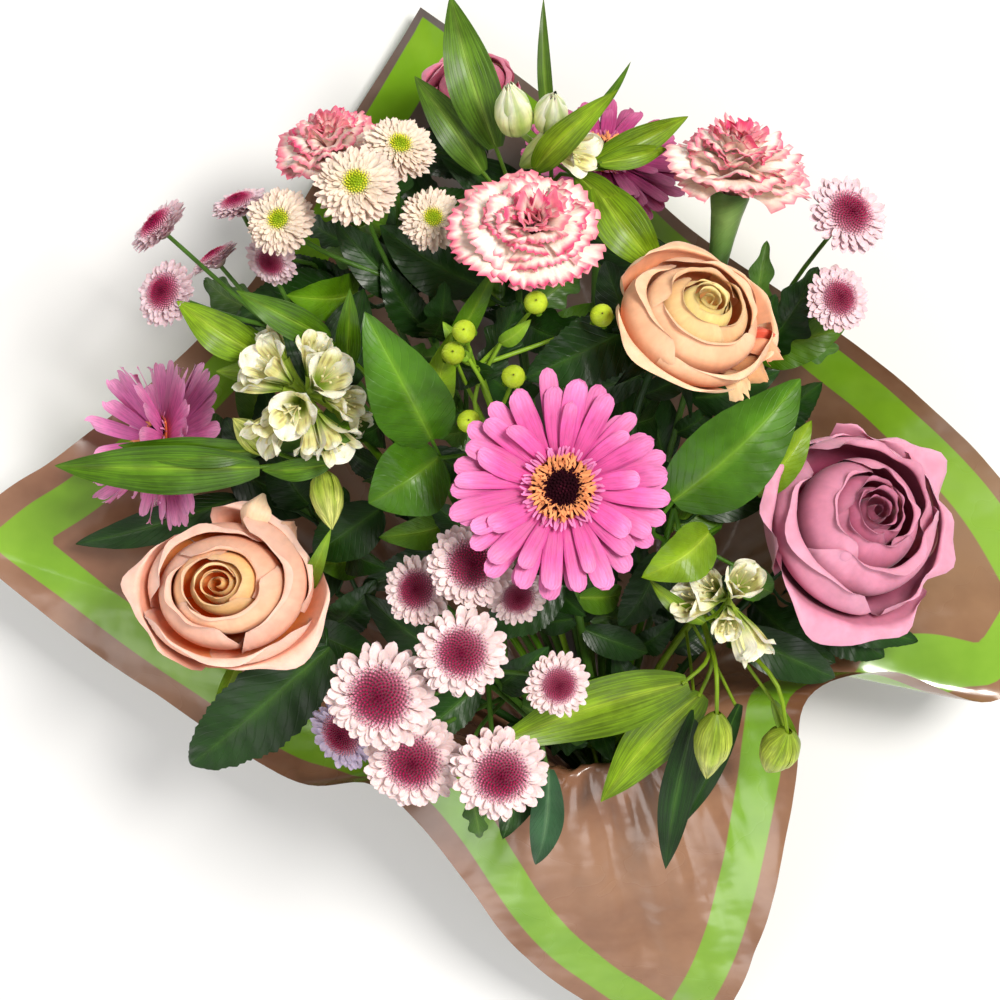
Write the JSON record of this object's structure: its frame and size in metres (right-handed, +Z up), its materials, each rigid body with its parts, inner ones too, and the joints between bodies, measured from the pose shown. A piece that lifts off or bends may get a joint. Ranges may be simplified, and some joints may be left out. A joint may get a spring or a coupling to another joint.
{
  "type": "flower bouquet",
  "caption": "Mixed flower bouquet in a gathered square of striped film, laid on its back: roses, carnations, gerberas, spray chrysanthemums and alstroemeria over one tied bundle of stems.",
  "frame": {"origin": "middle of the bouquet's footprint, on the surface it lies on", "axes": "+Y towards the flower heads, -Y towards the cut stem ends, +X to the viewer's right when looking down on it with the heads away, +Z up"},
  "size_m": [0.5841, 0.6195, 0.2579],
  "materials": {
    "film": "glossy wrapping film, rose brown with a lime stripe inside each edge",
    "ribbon": "satin ribbon, lime",
    "peach_petals": "soft matte petals, peach with a cream heart",
    "mauve_petals": "soft matte petals, dusky mauve pink",
    "carnation_petals": "soft matte petals, white with pink edges",
    "mum_petals": "soft matte petals, white to pale pink with dark eyes",
    "magenta_petals": "soft matte petals, dark magenta",
    "pink_petals": "soft matte petals, hot pink",
    "gerbera_disc": "matte florets, orange ring round a dark maroon disc",
    "white_petals": "soft matte petals, white with yellow green",
    "dark_green": "satin leaves and stems, dark green",
    "green": "satin leaves and stems, fresh green"
  },
  "bodies": {
    "root": {"alstroemeria_left_florets": "white_petals", "alstroemeria_right_florets": "white_petals", "alstroemeria_top_florets": "white_petals", "carnation_centre": "carnation_petals", "carnation_left": "carnation_petals", "carnation_right": "carnation_petals", "foliage_left": "green", "foliage_low": "dark_green", "foliage_right": "green", "gerbera_front_eye": "gerbera_disc", "gerbera_front_petals": "pink_petals", "gerbera_left_eye": "gerbera_disc", "gerbera_left_petals": "pink_petals", "gerbera_top_eye": "gerbera_disc", "gerbera_top_petals": "magenta_petals", "mum_front_1": "mum_petals", "mum_front_2": "mum_petals", "mum_front_3": "mum_petals", "mum_front_4": "mum_petals", "mum_front_5": "mum_petals", "mum_front_6": "mum_petals", "mum_front_7": "mum_petals", "mum_front_8": "mum_petals", "mum_front_9": "mum_petals", "mum_left_1": "mum_petals", "mum_left_2": "mum_petals", "mum_left_3": "mum_petals", "mum_left_4": "mum_petals", "mum_left_5": "mum_petals", "mum_pale_1": "mum_petals", "mum_pale_2": "mum_petals", "mum_pale_3": "mum_petals", "mum_pale_4": "mum_petals", "mum_right_1": "mum_petals", "mum_right_2": "mum_petals", "rose_mauve_right": "mauve_petals", "rose_mauve_top": "mauve_petals", "rose_peach_left": "peach_petals", "rose_peach_right": "peach_petals", "spray_alstroemeria_left": "green", "spray_alstroemeria_right": "green", "spray_alstroemeria_top": "green", "spray_berries": "green", "spray_mum_front": "green", "spray_mum_left": "green", "spray_mum_pale": "green", "spray_mum_right": "green", "stem_carnation_centre": "green", "stem_carnation_left": "green", "stem_carnation_right": "green", "stem_gerbera_front": "green", "stem_gerbera_left": "green", "stem_gerbera_top": "green", "stem_rose_mauve_right": "dark_green", "stem_rose_mauve_top": "dark_green", "stem_rose_peach_left": "dark_green", "stem_rose_peach_right": "dark_green", "tie": "ribbon", "wrap": "film"}
  },
  "joints": []
}
